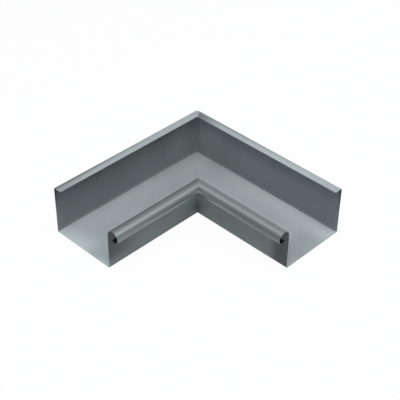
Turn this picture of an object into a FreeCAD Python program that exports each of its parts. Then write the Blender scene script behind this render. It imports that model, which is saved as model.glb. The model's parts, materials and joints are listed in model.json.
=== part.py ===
"""Internal gutter angle for a box gutter: one piece of sheet zinc, turned through a right angle.

The trough is an L in plan. Its back walls stand on the two outer sides of the L and its front walls,
which carry the rolled bead, stand on the two inner sides. All sizes are in millimetres, +Z is up, and
the origin is at the middle of the square footprint, on the underside.
"""

import FreeCAD
import Part
import math
import os

from FreeCAD import Vector

# Driving dimensions. Outside sizes, unless a line says otherwise.
sheet = 0.8
leg_length = 305.0
bottom_width = 120.0
back_height = 85.0
front_height = 75.0
fold_width = 15.0
bead_width = 22.0

# Inside radii of the bends between the flat strips of the section.
fold_bend = 1.5
back_bend = 1.5
front_bend = 2.0

# The bead turns over at half its width, then tightens to the curl and stops short of the wall.
curl_radius = 8.0
curl_past_bottom = 40.0

# The upright corner between the two back walls is rounded by this much more than the bend below it.
corner_ease = 4.5

# Sizes that follow from those above.
bead_radius = bead_width / 2
corner_radius = back_bend + corner_ease + sheet


class SheetSide:
    """One face of the sheet in the section: a pen that draws lines and arcs from the back to the front.

    Section coordinates are the distance from the back wall's outer face and the height. The water side
    of the sheet is on the pen's left, and the other side runs the given offset to the right of it.
    """

    def __init__(self, offset):
        self.offset = offset
        self.start = Vector(fold_width, 0, back_height - sheet + offset)
        self.place = self.start
        self.heading = math.pi
        self.edges = []

    def to_left(self):
        """The direction square to the heading, on the water side."""
        return Vector(-math.sin(self.heading), 0, math.cos(self.heading))

    def flat(self, length):
        """A straight strip."""
        start = self.place
        self.place = start + Vector(math.cos(self.heading), 0, math.sin(self.heading)) * length
        self.edges.append(Part.LineSegment(start, self.place).toShape())

    def bend(self, water_side_radius, degrees):
        """An arc, to the left where the angle is positive, of that radius on the water side."""
        turn = math.radians(degrees)
        side = math.copysign(1.0, turn)
        radius = water_side_radius + side * self.offset
        centre = self.place + self.to_left() * (side * radius)
        stops = []
        for share in (0.0, 0.5, 1.0):
            angle = self.heading + turn * share
            stops.append(centre + Vector(math.sin(angle), 0, -math.cos(angle)) * (side * radius))
        self.edges.append(Part.Arc(*stops).toShape())
        self.place = stops[-1]
        self.heading += turn


def sheet_side(offset):
    """The fold, back wall, floor, front wall and bead in turn, along one face of the sheet."""
    pen = SheetSide(offset)
    pen.flat(fold_width - sheet - fold_bend)
    pen.bend(fold_bend, 90)
    pen.flat(back_height - 2 * sheet - fold_bend - back_bend)
    pen.bend(back_bend, 90)
    pen.flat(bottom_width - 2 * sheet - back_bend - front_bend)
    pen.bend(front_bend, 90)
    pen.flat(front_height - bead_radius - sheet - front_bend)
    pen.bend(bead_radius, -180)
    pen.bend(curl_radius, -90 - curl_past_bottom)
    return pen


def section_face():
    """The closed outline of the sheet, from the free edge of the fold to the free edge of the curl."""
    water_side = sheet_side(0.0)
    outer_side = sheet_side(sheet)
    fold_edge = Part.LineSegment(water_side.start, outer_side.start)
    curl_edge = Part.LineSegment(water_side.place, outer_side.place)
    edges = water_side.edges + outer_side.edges + [fold_edge.toShape(), curl_edge.toShape()]
    return Part.Face(Part.Wire(Part.__sortEdges__(edges)))


def plan_prism(points):
    """An upright prism over a polygon in plan, from just below the part to just above it."""
    corners = [Vector(x, y, -sheet) for x, y in points]
    outline = Part.makePolygon(corners + corners[:1])
    return Part.Face(outline).extrude(Vector(0, 0, back_height + 2 * sheet))


def mitred_leg():
    """One straight leg along +X, with its back wall on y = 0, cut at 45 degrees through the corner."""
    section = section_face()
    section.rotate(Vector(0, 0, 0), Vector(0, 0, 1), -90)
    leg = section.extrude(Vector(leg_length, 0, 0))
    beyond_mitre = [
        (0, 0),
        (leg_length, -leg_length),
        (-leg_length, -leg_length),
        (-leg_length, 0),
    ]
    return leg.cut(plan_prism(beyond_mitre))


def rounded_corner():
    """The back corner, turned about an upright axis, from the outer faces of the walls to that axis."""
    near_axis = [
        (0, -sheet),
        (corner_radius, -sheet),
        (corner_radius, sheet),
        (0, sheet),
    ]
    near_wall = section_face().common(plan_prism(near_axis))
    near_wall.rotate(Vector(0, 0, 0), Vector(0, 0, 1), -90)
    near_wall.translate(Vector(corner_radius, 0, 0))
    return near_wall.revolve(Vector(corner_radius, -corner_radius, 0), Vector(0, 0, 1), 90)


def gutter_angle():
    """Two mitred legs, joined, with the sharp back corner exchanged for the rounded one."""
    leg = mitred_leg()
    other_leg = leg.mirror(Vector(0, 0, 0), Vector(1, 1, 0))
    sharp_corner = [
        (0, 0),
        (corner_radius, 0),
        (corner_radius, -corner_radius),
        (0, -corner_radius),
    ]
    sharp_legs = leg.fuse(other_leg)
    open_legs = sharp_legs.cut(plan_prism(sharp_corner))
    body = open_legs.fuse(rounded_corner()).removeSplitter()
    body.translate(Vector(-leg_length / 2, leg_length / 2, 0))
    return body


def main():
    body = gutter_angle()
    solid = body.Solids[0]
    print("solids", len(body.Solids), "valid", solid.isValid(), "faces", len(solid.Faces))
    print("volume mm3", round(solid.Volume, 1), "box", solid.optimalBoundingBox())
    os.makedirs("parts", exist_ok=True)
    solid.exportStep("parts/gutter_angle.step")


main()
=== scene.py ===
"""Internal gutter angle of sheet zinc, as it lies on a studio floor.

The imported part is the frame, in metres: +Z is up, and the origin is at the middle of the square
footprint, on the underside. Sizes in this file are in millimetres, and MM turns them to metres.
"""

import json
import math
from collections import namedtuple

import bpy
from mathutils import Euler, Matrix, Vector, noise

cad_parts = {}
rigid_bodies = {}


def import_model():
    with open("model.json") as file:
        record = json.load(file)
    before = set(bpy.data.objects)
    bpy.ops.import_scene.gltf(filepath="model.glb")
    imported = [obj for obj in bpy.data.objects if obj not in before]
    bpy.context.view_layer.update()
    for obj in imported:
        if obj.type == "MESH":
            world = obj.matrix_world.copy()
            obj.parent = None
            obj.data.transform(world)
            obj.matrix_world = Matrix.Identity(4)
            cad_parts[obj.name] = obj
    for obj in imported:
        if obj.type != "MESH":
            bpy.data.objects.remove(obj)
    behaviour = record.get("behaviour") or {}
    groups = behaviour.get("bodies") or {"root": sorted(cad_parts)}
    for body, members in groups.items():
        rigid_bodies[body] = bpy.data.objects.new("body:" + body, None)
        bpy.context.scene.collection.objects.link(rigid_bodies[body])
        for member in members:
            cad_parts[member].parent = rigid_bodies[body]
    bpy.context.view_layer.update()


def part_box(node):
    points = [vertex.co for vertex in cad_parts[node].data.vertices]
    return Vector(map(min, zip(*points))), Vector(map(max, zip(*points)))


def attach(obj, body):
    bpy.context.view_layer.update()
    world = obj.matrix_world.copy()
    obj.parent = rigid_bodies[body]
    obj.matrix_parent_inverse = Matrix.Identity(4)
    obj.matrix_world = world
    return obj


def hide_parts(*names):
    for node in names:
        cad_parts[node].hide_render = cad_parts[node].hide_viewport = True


for start_object in list(bpy.data.objects):
    bpy.data.objects.remove(start_object)
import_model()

# The gutter angle is one piece of zinc sheet, folded and rolled into an L-shaped trough. Its section
# has a narrow fold at the top of the back wall, a flat bottom, and a front wall that ends in a rolled
# bead. The shears leave slightly rounded edges, and the flats stand a little slack between the bends.
MM = 0.001
lowest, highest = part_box("gutter_angle")
leg_length = (highest.x - lowest.x) / MM
back_height = (highest.z - lowest.z) / MM
sheet = 0.8
bottom_width = 120.0
front_height = 75.0
fold_width = 15.0
bead_width = 22.0
bead_radius = bead_width / 2
fold_bend = 1.5
back_bend = 1.5
front_bend = 2.0
curl_radius = 8.0
curl_past_bottom = 40.0
shorn_edge = 0.25
edge_degrees = (90, 60, 30, 0)
flat_spacing = 6.0
bend_degrees = 6.0

Station = namedtuple("Station", "place square thickness slack walked")


def edge_rounding():
    """Distance from a shorn edge and share of the sheet's thickness there, from the edge inwards."""
    steps = []
    for degrees in edge_degrees:
        turn = math.radians(degrees)
        distance = shorn_edge * (1 - math.sin(turn))
        steps.append((distance, 1 - 2 * shorn_edge / sheet * (1 - math.cos(turn))))
    return steps


class Section:
    """Stations along the middle of the sheet, from the fold's free edge to the curl's free edge.

    A station holds its place (distance from the back wall's outer face, and height), the direction
    square to the sheet on the water side, the share of the full thickness, the share of the slack
    that the sheet may take there, and the length of sheet walked up to it.
    """

    def __init__(self):
        self.place = Vector((fold_width, back_height - sheet / 2))
        self.heading = math.pi
        self.walked = 0.0
        self.stations = []

    def add(self, thickness=1.0, slack=0.0):
        """A station where the walk has come to."""
        square = Vector((-math.sin(self.heading), math.cos(self.heading)))
        self.stations.append(Station(self.place.copy(), square, thickness, slack, self.walked))

    def step(self, length):
        """Walks straight on."""
        self.place += Vector((math.cos(self.heading), math.sin(self.heading))) * length
        self.walked += length

    def free_edge(self, rounding):
        """A rounded edge, given from the edge inwards at the start and outwards at the end."""
        before = rounding[0][0]
        for distance, thickness in rounding:
            self.step(abs(distance - before))
            self.add(thickness)
            before = distance

    def flat(self, length):
        """A straight strip, most slack in its middle."""
        count = round(length / flat_spacing)
        for i in range(1, count + 1):
            self.step(length / count)
            self.add(slack=math.sin(math.pi * i / count) ** 2)

    def bend(self, water_side_radius, degrees):
        """An arc, to the water side where the angle is positive."""
        radius = water_side_radius + math.copysign(sheet / 2, degrees)
        count = round(abs(degrees) / bend_degrees)
        turn = math.radians(degrees) / count
        for _ in range(count):
            self.heading += turn / 2
            self.step(2 * radius * math.sin(abs(turn) / 2))
            self.heading += turn / 2
            self.add()


section = Section()
section.free_edge(edge_rounding())
section.flat(fold_width - sheet - fold_bend - shorn_edge)
fold_end = section.walked
section.bend(fold_bend, 90)
wall_start = section.walked
section.flat(back_height - 2 * sheet - fold_bend - back_bend)
wall_end = section.walked
section.bend(back_bend, 90)
bottom_start = section.walked
section.flat(bottom_width - 2 * sheet - back_bend - front_bend)
section.bend(front_bend, 90)
front_start = section.walked
section.flat(front_height - bead_radius - sheet - front_bend)
bead_start = section.walked
section.bend(bead_radius, -180)
curl_start = section.walked
section.bend(curl_radius, -90 - curl_past_bottom)
section.free_edge(edge_rounding()[::-1])

# The sheet runs along both legs of the L. The front walls and the bottom meet in a mitre, the back
# walls in a rounded upright corner, and each leg is shorn off square at its free end. The slack of the
# flats ripples along each leg in its own way, and dies out towards the corner.
corner_ease = 4.5
corner_radius = back_bend + corner_ease + sheet
row_spacing = 5.0
corner_steps = 10
slack_depth = 0.3
slack_length = 80.0
slack_from_mitre = 40.0
slack_shift = 7.0

# A row crosses the whole sheet, at a distance from the free end, at a share of the way from there to
# the corner, or at an angle round the corner.
Row = namedtuple("Row", "leg kind amount thickness")
along_count = round(leg_length / row_spacing)
leg_rows = [("end", distance, thickness) for distance, thickness in edge_rounding()]
leg_rows += [("leg", i / along_count, 1.0) for i in range(1, along_count + 1)]
corner_rows = [("corner", math.pi / 2 * i / corner_steps, 1.0) for i in range(1, corner_steps)]
rows = [Row(0, *row) for row in leg_rows + corner_rows]
rows += [Row(1, *row) for row in reversed(leg_rows)]


def along_leg(row, across):
    """Distance along the leg, from the other leg's back face, of a point that far from its own."""
    if row.kind == "end":
        return leg_length - row.amount
    start = leg_length - shorn_edge
    return start + (max(across, corner_radius) - start) * row.amount


def point(row, station, side):
    """A mesh point on the water side (+1) or the other side (-1), and its distance along the leg."""
    across = station.place.x
    offset = side * sheet / 2 * (station.thickness + row.thickness - 1)
    if row.kind == "corner":
        across += station.square.x * offset
        radius = max(corner_radius - across, 0.0)
        centre = max(across, corner_radius)
        across = centre - radius * math.cos(row.amount)
        along = centre - radius * math.sin(row.amount)
    else:
        along = along_leg(row, across)
        from_mitre = along - max(across, corner_radius)
        on_sheet = (along / slack_length, station.walked / slack_length, slack_shift * row.leg)
        ripple = (1 + noise.noise(Vector(on_sheet))) / 2
        slack = station.slack * min(from_mitre / slack_from_mitre, 1.0)
        offset += slack_depth * slack * ripple
        across += station.square.x * offset
        along = along_leg(row, across)
    height = station.place.y + station.square.y * offset
    x, y = (along, across) if row.leg else (across, along)
    return Vector((x - leg_length / 2, leg_length / 2 - y, height)) * MM, along


# Making leaves its marks on the sheet: rollers burnish the bead, and some shorn edges show lighter bare
# metal.
# Painted shade darkens most of the sheet where shade falls, and painted light lightens some of it. A
# pair of values is for the left and right legs, as the camera sees them. A reach says where a mark is
# nil and where it is full.
Reach = namedtuple("Reach", "nil full")
everywhere = Reach(-1.0, 0.0)


def ease(reach, value):
    """A smooth change from 0 where a reach is nil to 1 where it is full."""
    share = min(max((value - reach.nil) / (reach.full - reach.nil), 0.0), 1.0)
    return share * share * (3 - 2 * share)


def band(rise, fall, value):
    """A smooth change from 0 to 1 over one reach and back to 0 over another."""
    return ease(rise, value) * ease(fall, value)


def toward(start, end, share):
    """The value at a share of the way from one to the other."""
    return start + (end - start) * share


# The fold carries a little painted shade, more at the free ends. The right leg's is most by the corner,
# and farther along it has a painted sheen. Painted shade on the outside of the bend changes along each
# leg.
painted_shade_on_fold = 0.09
painted_shade_at_fold_corner = (0.0, 0.75)
painted_shade_at_fold_end = (0.2, 0.25)
fold_reach = Reach(70.0, 0.0)
painted_light_on_fold = (0.0, 0.27)
painted_light_on_fold_reach = Reach(60.0, 200.0)
painted_shade_on_bend_by_corner = (0.2, 0.5)
painted_shade_on_bend_by_end = (0.85, 0.1)
bend_reach = Reach(60.0, 300.0)


def fold_painted_light(leg, walked, along):
    """Shares of painted light and painted shade on the top of the fold and on the outside of its bend.
    """
    if walked >= fold_end:
        by_end = ease(bend_reach, along)
        return 0.0, toward(painted_shade_on_bend_by_corner[leg], painted_shade_on_bend_by_end[leg], by_end)
    painted_shade = painted_shade_on_fold + painted_shade_at_fold_corner[leg] * ease(fold_reach, along)
    painted_shade += painted_shade_at_fold_end[leg] * ease(fold_reach, leg_length - along)
    return painted_light_on_fold[leg] * ease(painted_light_on_fold_reach, along), painted_shade


# The back walls carry painted shade from top to foot, less by the corner, where painted light is added
# and a band of painted shade lies on the rounded corner. The upper part of each shorn end, under the
# fold, is darkest with painted shade.
wall_rise = Reach(wall_end, wall_start)
wall_fall = Reach(wall_start, wall_end)
painted_shade_on_wall_top = (0.55, 0.12)
painted_shade_on_wall_foot = (0.44, 0.4)
corner_reach = Reach(80.0, 10.0)
painted_shade_lost_by_corner = 0.35
painted_shade_in_corner = 0.12
painted_light_on_wall_by_corner = (0.1, 0.35)
painted_shade_by_wall_end = (0.0, 0.15)
by_wall_end_reach = Reach(90.0, 10.0)
painted_shade_at_wall_end = 1.0
wall_end_reach = Reach(8.0, 0.0)


def back_wall_painted_light(row, walked, along):
    """Shares of painted light and painted shade on the water side of a back wall."""
    leg = row.leg
    from_end = leg_length - along
    by_corner = ease(corner_reach, along)
    rise = ease(wall_rise, walked)
    painted_shade = toward(painted_shade_on_wall_top[leg], painted_shade_on_wall_foot[leg], ease(wall_fall, walked))
    painted_shade *= 1 - painted_shade_lost_by_corner * by_corner
    if row.kind == "corner":
        painted_shade += painted_shade_in_corner * math.sin(2 * row.amount)
    painted_shade += painted_shade_by_wall_end[leg] * ease(by_wall_end_reach, from_end) * rise
    painted_shade = max(painted_shade, painted_shade_at_wall_end * ease(wall_end_reach, from_end) * rise)
    return painted_light_on_wall_by_corner[leg] * by_corner * rise, painted_shade


# The bottom has painted light along the back wall, by the corner, and at the free ends, there most on
# the left leg. Painted shade lies in the back bend, towards the corner on the left leg and near the end
# of the right.
painted_shade_in_back_bend = 0.3
painted_shade_on_bottom = (0.1, 0.0)
painted_shade_bottom_reach = Reach(230.0, 0.0)
painted_shade_at_bottom_end = (0.0, 0.22)
painted_shade_bottom_end_reach = Reach(60.0, 25.0)
painted_shade_bottom_end_across = Reach(22.0, 52.0)
painted_light_on_bottom = (0.25, 0.75)
painted_light_bottom_reach = Reach(20.0, 190.0)
painted_light_bottom_across = Reach(45.0, 5.0)
painted_light_at_bottom_end = (0.85, 0.2)
bottom_end_reach = Reach(45.0, 0.0)
bottom_end_across = Reach(80.0, 52.0)
painted_light_at_bottom_tip = (0.8, 0.3)
bottom_tip_reach = Reach(16.0, 2.0)
bottom_tip_across = Reach(80.0, 105.0)
painted_light_on_bottom_by_corner = 0.4


def bottom_painted_light(leg, walked, along):
    """Shares of painted light and painted shade on the water side of the bottom and of the bends beside
    it.
    """
    if walked < bottom_start:
        return 0.0, painted_shade_in_back_bend
    from_end = leg_length - along
    across = walked - bottom_start
    painted_shade = painted_shade_on_bottom[leg] * ease(painted_shade_bottom_reach, along)
    by_end = ease(painted_shade_bottom_end_reach, from_end) * ease(painted_shade_bottom_end_across, across)
    painted_shade += painted_shade_at_bottom_end[leg] * by_end
    painted_light_and_wear = painted_light_on_bottom[leg] * ease(painted_light_bottom_reach, along)
    painted_light_and_wear *= ease(painted_light_bottom_across, across)
    end = painted_light_at_bottom_end[leg] * ease(bottom_end_reach, from_end)
    end *= ease(bottom_end_across, across)
    tip = painted_light_at_bottom_tip[leg] * ease(bottom_tip_reach, from_end)
    tip *= ease(bottom_tip_across, across)
    corner = painted_light_on_bottom_by_corner * ease(corner_reach, along)
    return max(painted_light_and_wear, end, tip, corner), painted_shade


# The bead is burnished outside, with painted shade behind and before a painted highlight on its crown,
# and painted light on the lip, brightest by the inner corner. The deepest painted shade is inside it.
# Reaches over the bead are shares of its half turn, and the lip's rise and fall are measured from the
# end of that turn.
burnish_fade = 4.0
burnish_reach = Reach(bead_start - burnish_fade / 2, bead_start + burnish_fade / 2)
painted_shade_behind_bead = (0.42, 0.16)
painted_shade_before_bead = (0.31, 0.5)
over_bead = Reach(0.45, 0.8)
painted_highlight_on_crown = 0.45
crown_rise = Reach(0.48, 0.62)
crown_fall = Reach(0.86, 0.74)
painted_light_on_lip = (0.18, 0.14)
lip_rise = Reach(-7.0, -1.0)
painted_light_on_lip_by_corner = 1.0
lip_by_corner_reach = (Reach(190.0, 125.0), Reach(250.0, 122.0))
lip_by_corner_fall = Reach(3.0, -1.0)
painted_shade_in_bead = 0.75
painted_shade_in_curl = 1.0


def bead_painted_light(leg, walked, along):
    """Shares of painted light and painted shade on the outside of the bead and its curl."""
    turned = (walked - bead_start) / (curl_start - bead_start)
    painted_shade = toward(painted_shade_behind_bead[leg], painted_shade_before_bead[leg], ease(over_bead, turned))
    painted_shade *= 1 - painted_highlight_on_crown * band(crown_rise, crown_fall, turned)
    past_bead = walked - curl_start
    by_corner = ease(lip_by_corner_reach[leg], along) * ease(lip_by_corner_fall, past_bead)
    painted_light_and_wear = toward(painted_light_on_lip[leg], painted_light_on_lip_by_corner, by_corner)
    return painted_light_and_wear * ease(lip_rise, past_bead), painted_shade


# The front walls carry painted shade outside, most at their free ends, right under the bead and, a
# little in from the ends, in a patch below the mouth of the bead. They have painted light beside the
# mitre, above its foot.
painted_shade_on_front_wall = (0.35, 0.3)
front_wall_rise = (everywhere, Reach(-22.0, 20.0))
painted_shade_at_front_end = (0.84, 0.87)
front_end_reach = (Reach(75.0, 0.0), Reach(38.0, 18.0))
front_end_rise = (Reach(0.0, 22.0), everywhere)
under_bead_reach = Reach(8.0, 0.0)
patch_top = Reach(6.0, 10.0)
patch_foot = Reach(24.0, 16.0)
patch_near_end = Reach(6.0, 10.0)
patch_far_end = Reach(40.0, 20.0)
painted_light_at_mitre = 0.6
mitre_reach = Reach(185.0, 122.0)
mitre_rise = Reach(8.0, 35.0)


def front_wall_painted_light(leg, walked, along):
    """Shares of painted light and painted shade on the outer face of a front wall."""
    from_end = leg_length - along
    risen = walked - front_start
    below_bead = bead_start - walked
    painted_shade = painted_shade_on_front_wall[leg] * ease(front_wall_rise[leg], risen)
    at_end = ease(front_end_reach[leg], from_end) * ease(front_end_rise[leg], risen)
    painted_shade = toward(painted_shade, painted_shade_at_front_end[leg], at_end)
    painted_shade = toward(painted_shade, painted_shade_in_bead, ease(under_bead_reach, below_bead))
    patch = band(patch_top, patch_foot, below_bead) * band(patch_near_end, patch_far_end, from_end)
    painted_light_and_wear = painted_light_at_mitre * ease(mitre_reach, along) * ease(mitre_rise, risen)
    return painted_light_and_wear, toward(painted_shade, painted_shade_in_curl, patch)


# Painted shade dulls the shorn edges, but those of the fold, the bottom and the foot of the front wall
# show lighter bare metal. Faces that the camera doesn't see stay plain.
painted_shade_on_edge = 0.6
rubbed_edge = 0.4
rubbed_edge_rise = 28.0


def finish_and_painted_light(row, station, side, along):
    """Shares of burnished metal, of painted light with the bare metal of lighter shorn edges, and of
    painted shade at a point of the sheet.
    """
    walked = station.walked
    water_side = side == 1
    burnished = 0.0
    painted_light_and_wear = 0.0
    painted_shade = 0.0
    if water_side:
        burnished = ease(burnish_reach, walked)
    if water_side and wall_start <= walked < wall_end:
        painted_light_and_wear, painted_shade = back_wall_painted_light(row, walked, along)
    elif water_side and wall_end <= walked < front_start:
        painted_light_and_wear, painted_shade = bottom_painted_light(row.leg, walked, along)
    elif water_side and bead_start <= walked:
        painted_light_and_wear, painted_shade = bead_painted_light(row.leg, walked, along)
    elif not water_side and walked < wall_start:
        painted_light_and_wear, painted_shade = fold_painted_light(row.leg, walked, along)
    elif not water_side and front_start <= walked < bead_start:
        painted_light_and_wear, painted_shade = front_wall_painted_light(row.leg, walked, along)
    # Inside the bead and its curl the sheet is darkened with painted shade.
    elif not water_side and bead_start <= walked:
        painted_shade = painted_shade_in_bead if walked < curl_start else painted_shade_in_curl
    if min(row.thickness, station.thickness) < 1:
        if walked < fold_end or bottom_start < walked < front_start + rubbed_edge_rise:
            painted_light_and_wear = max(painted_light_and_wear, rubbed_edge)
        else:
            painted_shade = max(painted_shade, painted_shade_on_edge)
    return burnished, painted_light_and_wear, painted_shade


# The two faces of the sheet are put together from their points, with edges between them all round. Each
# point also holds its burnish, painted light and painted shade, and its place on the flat sheet. Points
# that fall together are one.
same_place_digits = 4
sharp_degrees = 12.0

points = []
finishes_and_painted_light = []
places = []
numbers = {}
index = {}
for side in (1, -1):
    for r, row in enumerate(rows):
        for s, station in enumerate(section.stations):
            where, along = point(row, station, side)
            key = (side, tuple(round(c / MM, same_place_digits) for c in where))
            if key not in numbers:
                numbers[key] = len(points)
                points.append(where)
                finishes_and_painted_light.extend(finish_and_painted_light(row, station, side, along))
                from_mitre = 0.0 if row.kind == "corner" else along - max(station.place.x, corner_radius)
                places.extend((station.walked * MM, from_mitre * MM * (1 if row.leg else -1), 0.0))
            index[side, r, s] = numbers[key]

faces = []


def face(*corners):
    """A face, without the corners that fall together where rows meet at the mitre."""
    kept = list(dict.fromkeys(index[corner] for corner in corners))
    if len(kept) > 2:
        faces.append(kept)


last_row = len(rows) - 1
last_station = len(section.stations) - 1
for r in range(last_row):
    for s in range(last_station):
        face((1, r, s), (1, r, s + 1), (1, r + 1, s + 1), (1, r + 1, s))
        face((-1, r, s), (-1, r + 1, s), (-1, r + 1, s + 1), (-1, r, s + 1))
    face((1, r, 0), (1, r + 1, 0), (-1, r + 1, 0), (-1, r, 0))
    face((1, r, last_station), (-1, r, last_station),
         (-1, r + 1, last_station), (1, r + 1, last_station))
for s in range(last_station):
    face((1, 0, s), (-1, 0, s), (-1, 0, s + 1), (1, 0, s + 1))
    face((1, last_row, s), (1, last_row, s + 1), (-1, last_row, s + 1), (-1, last_row, s))

mesh = bpy.data.meshes.new("gutter_sheet")
mesh.from_pydata(points, [], faces)
mesh.attributes.new("finish_and_painted_light", "FLOAT_VECTOR", "POINT").data.foreach_set("vector", finishes_and_painted_light)
mesh.attributes.new("sheet_place", "FLOAT_VECTOR", "POINT").data.foreach_set("vector", places)
mesh.shade_smooth()
mesh.set_sharp_from_angle(angle=math.radians(sharp_degrees))
gutter_sheet = bpy.data.objects.new("gutter_sheet", mesh)
bpy.context.collection.objects.link(gutter_sheet)

# Pre-weathered zinc: a matt grey mineral skin, faintly cloudy over a few centimetres, with the grain of
# the rolling mill along each leg, drawn a few times coarser than it is so that it shows. Burnished metal
# is darker and shines in soft bands, painted shade darkens the skin towards near black, and painted
# light, like the bare metal of some shorn edges, brings a lighter grey through it.
cloud_size = 45.0
grain_width = 2.0
grain_length = 60.0
grain_depth = 0.02
grain_in_tone = 0.3
darkest_tone = 0.3
lightest_tone = 0.7
dark_grey = "#999ea1"
light_grey = "#a5a9ac"
burnished_grey = "#7e8587"
painted_shade_colour = "#090e10"
painted_light_and_wear_grey = "#bcc2c4"
smoothest_skin = 0.45
roughest_skin = 0.55
burnished_roughness = 0.4
burnished_metallic = 0.85


def linear(hex_colour):
    """An sRGB hex colour as the linear RGBA that a shader socket takes."""
    channels = [int(hex_colour[i:i + 2], 16) / 255 for i in (1, 3, 5)]
    return [c / 12.92 if c <= 0.04045 else ((c + 0.055) / 1.055) ** 2.4 for c in channels] + [1.0]


def add_node(tree, kind, inputs=None, **settings):
    """Adds a node, sets its properties, and links each input to a socket or sets its value."""
    node = tree.nodes.new(kind)
    for name, value in settings.items():
        setattr(node, name, value)
    for name, value in (inputs or {}).items():
        if isinstance(value, bpy.types.NodeSocket):
            tree.links.new(value, node.inputs[name])
        else:
            node.inputs[name].default_value = value
    return node


zinc = bpy.data.materials.new("preweathered_zinc")
zinc.use_nodes = True
tree = zinc.node_tree
finish_attribute = add_node(tree, "ShaderNodeAttribute", attribute_name="finish_and_painted_light")
shares = add_node(tree, "ShaderNodeSeparateXYZ", {0: finish_attribute.outputs["Vector"]})
burnished, painted_light_and_wear, painted_shade_share = shares.outputs
place = add_node(tree, "ShaderNodeAttribute", attribute_name="sheet_place").outputs["Vector"]
clouds = add_node(tree, "ShaderNodeTexNoise", {
    "Vector": place, "Scale": 1 / (cloud_size * MM), "Detail": 3.0, "Roughness": 0.55,
})
along_grain = add_node(tree, "ShaderNodeVectorMath", {
    0: place, 1: (1 / (grain_width * MM), 1 / (grain_length * MM), 1.0),
}, operation="MULTIPLY")
grain = add_node(tree, "ShaderNodeTexNoise", {
    "Vector": along_grain.outputs["Vector"], "Scale": 1.0, "Detail": 2.0,
})
tone = add_node(tree, "ShaderNodeMix", {
    "Factor": grain_in_tone, "A": clouds.outputs["Fac"], "B": grain.outputs["Fac"],
})
lightness = add_node(tree, "ShaderNodeMapRange", {
    "Value": tone.outputs[0], "From Min": darkest_tone, "From Max": lightest_tone,
})

# Each layer covers the ones before it by its share; the last two are the painted shade and the painted
# light.
# In a colour mix, input 0 is that share, inputs 6 and 7 are the two colours, and output 2 is the result.
layers = (
    (lightness.outputs[0], light_grey),
    (burnished, burnished_grey),
    (painted_shade_share, painted_shade_colour),
    (painted_light_and_wear, painted_light_and_wear_grey),
)
colour = linear(dark_grey)
for share, layer in layers:
    covered = add_node(tree, "ShaderNodeMix", {0: share, 6: colour, 7: linear(layer)}, data_type="RGBA")
    colour = covered.outputs[2]
metal = add_node(tree, "ShaderNodeMapRange", {"Value": burnished, "To Max": burnished_metallic})
satin = add_node(tree, "ShaderNodeMapRange", {
    "Value": grain.outputs["Fac"], "To Min": smoothest_skin, "To Max": roughest_skin,
})
rough = add_node(tree, "ShaderNodeMix", {
    "Factor": burnished, "A": satin.outputs[0], "B": burnished_roughness,
})
bump = add_node(tree, "ShaderNodeBump", {
    "Height": grain.outputs["Fac"], "Strength": 0.3, "Distance": grain_depth * MM,
})
surface = tree.nodes["Principled BSDF"]
tree.links.new(colour, surface.inputs["Base Color"])
tree.links.new(metal.outputs[0], surface.inputs["Metallic"])
tree.links.new(rough.outputs[0], surface.inputs["Roughness"])
tree.links.new(bump.outputs["Normal"], surface.inputs["Normal"])
mesh.materials.append(zinc)
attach(gutter_sheet, "root")
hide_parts("gutter_angle")

# The angle lies on a sheet of matt white studio paper. To the eye, and mirrored in the metal, the paper
# is plain white with a trace of shadow, as in a cut-out picture. It lights the angle only with what the
# lamps and the room give it.
floor_reach = 3000.0
white_share = 0.97


def looked_at(tree):
    """1 for a ray that shows a surface to the eye, straight, mirrored or through glass, and else 0."""
    ray = add_node(tree, "ShaderNodeLightPath").outputs
    straight_or_mirrored = add_node(tree, "ShaderNodeMath", {
        0: ray["Is Camera Ray"], 1: ray["Is Glossy Ray"],
    }, operation="MAXIMUM")
    return add_node(tree, "ShaderNodeMath", {
        0: straight_or_mirrored.outputs[0], 1: ray["Is Transmission Ray"],
    }, operation="MAXIMUM").outputs[0]


floor_corners = [Vector((x, y, 0)) * floor_reach * MM for x, y in ((-1, -1), (1, -1), (1, 1), (-1, 1))]
floor_mesh = bpy.data.meshes.new("floor")
floor_mesh.from_pydata(floor_corners, [], [(0, 1, 2, 3)])
floor = bpy.data.objects.new("floor", floor_mesh)
bpy.context.collection.objects.link(floor)
paper = bpy.data.materials.new("white_paper")
paper.use_nodes = True
tree = paper.node_tree
matt = add_node(tree, "ShaderNodeBsdfDiffuse", {"Color": linear("#cacfd1")})
white = add_node(tree, "ShaderNodeEmission", {"Color": linear("#ffffff"), "Strength": 1.0})
share = add_node(tree, "ShaderNodeMath", {0: looked_at(tree), 1: white_share}, operation="MULTIPLY")
both = add_node(tree, "ShaderNodeMixShader", {
    0: share.outputs[0], 1: matt.outputs[0], 2: white.outputs[0],
})
tree.links.new(both.outputs[0], tree.nodes["Material Output"].inputs["Surface"])
floor_mesh.materials.append(paper)

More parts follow.
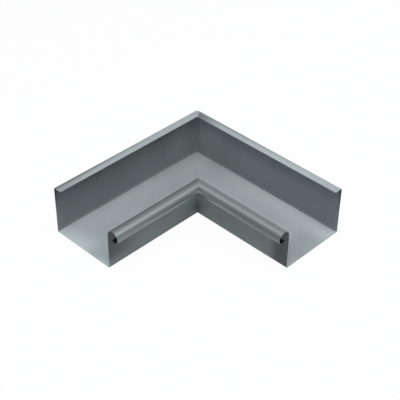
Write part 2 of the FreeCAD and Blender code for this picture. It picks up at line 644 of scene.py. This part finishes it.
# The camera looks down into the channel from the open side of the L, a little to one side of the
# mitre, through a long lens.
camera_data = bpy.data.cameras.new("camera")
camera_data.sensor_width = 36
camera_data.lens = 93.96
azimuth = math.radians(44.077)
elevation = math.radians(37.929)
roll = math.radians(0.712)
aim = Vector((-53.56, 59.54, 0)) * MM
distance = 1677.6 * MM
camera = bpy.data.objects.new("camera", camera_data)
turn = Euler((math.pi / 2 - elevation, 0, azimuth)).to_matrix().to_4x4() @ Matrix.Rotation(roll, 4, "Z")
camera.matrix_world = Matrix.Translation(aim) @ turn @ Matrix.Translation((0, 0, distance))
bpy.context.collection.objects.link(camera)
bpy.context.scene.camera = camera

# A large softbox overhead, leaning a little to the camera, lights the bottom, the fold and the top of
# the bead. Two weak ones at the sides draw out the bead's highlight, and a low one behind the right
# leg lights the bead's far flank over the back wall.
softbox_away = 1600.0


def softbox(name, around, above, width, depth, watts, colour):
    """A softbox that faces the part, at degrees round from the camera's side and degrees up."""
    lamp = bpy.data.lights.new(name, "AREA")
    lamp.shape = "RECTANGLE"
    lamp.size = width * MM
    lamp.size_y = depth * MM
    lamp.energy = watts
    lamp.color = linear(colour)[:3]
    lamp_object = bpy.data.objects.new(name, lamp)
    facing = Euler((math.pi / 2 - math.radians(above), 0, azimuth + math.radians(around)))
    away = Matrix.Translation((0, 0, softbox_away * MM))
    lamp_object.matrix_world = facing.to_matrix().to_4x4() @ away
    bpy.context.collection.objects.link(lamp_object)


softbox("overhead_softbox", around=0, above=76, width=800, depth=1100, watts=18.5, colour="#fffefd")
softbox("right_softbox", around=80, above=52, width=600, depth=500, watts=3.6, colour="#ffffff")
softbox("left_softbox", around=-120, above=50, width=600, depth=500, watts=2.4, colour="#ffffff")
softbox("rim_softbox", around=135, above=12, width=700, depth=700, watts=8.0, colour="#ffffff")

# The studio's grey walls fill the shade inside the channel with an even, slightly cold light. Past the
# edge of the paper the camera and the metal's reflections see them as white as the paper itself.
world = bpy.data.worlds.new("studio")
world.use_nodes = True
tree = world.node_tree
room = tree.nodes["Background"]
room.inputs["Color"].default_value = linear("#72888b")
backdrop = add_node(tree, "ShaderNodeBackground", {"Color": linear("#ffffff"), "Strength": 1.0})
seen = add_node(tree, "ShaderNodeMixShader", {
    0: looked_at(tree), 1: room.outputs[0], 2: backdrop.outputs[0],
})
tree.links.new(seen.outputs[0], tree.nodes["World Output"].inputs["Surface"])
bpy.context.scene.world = world
bpy.context.scene.view_settings.view_transform = "Standard"
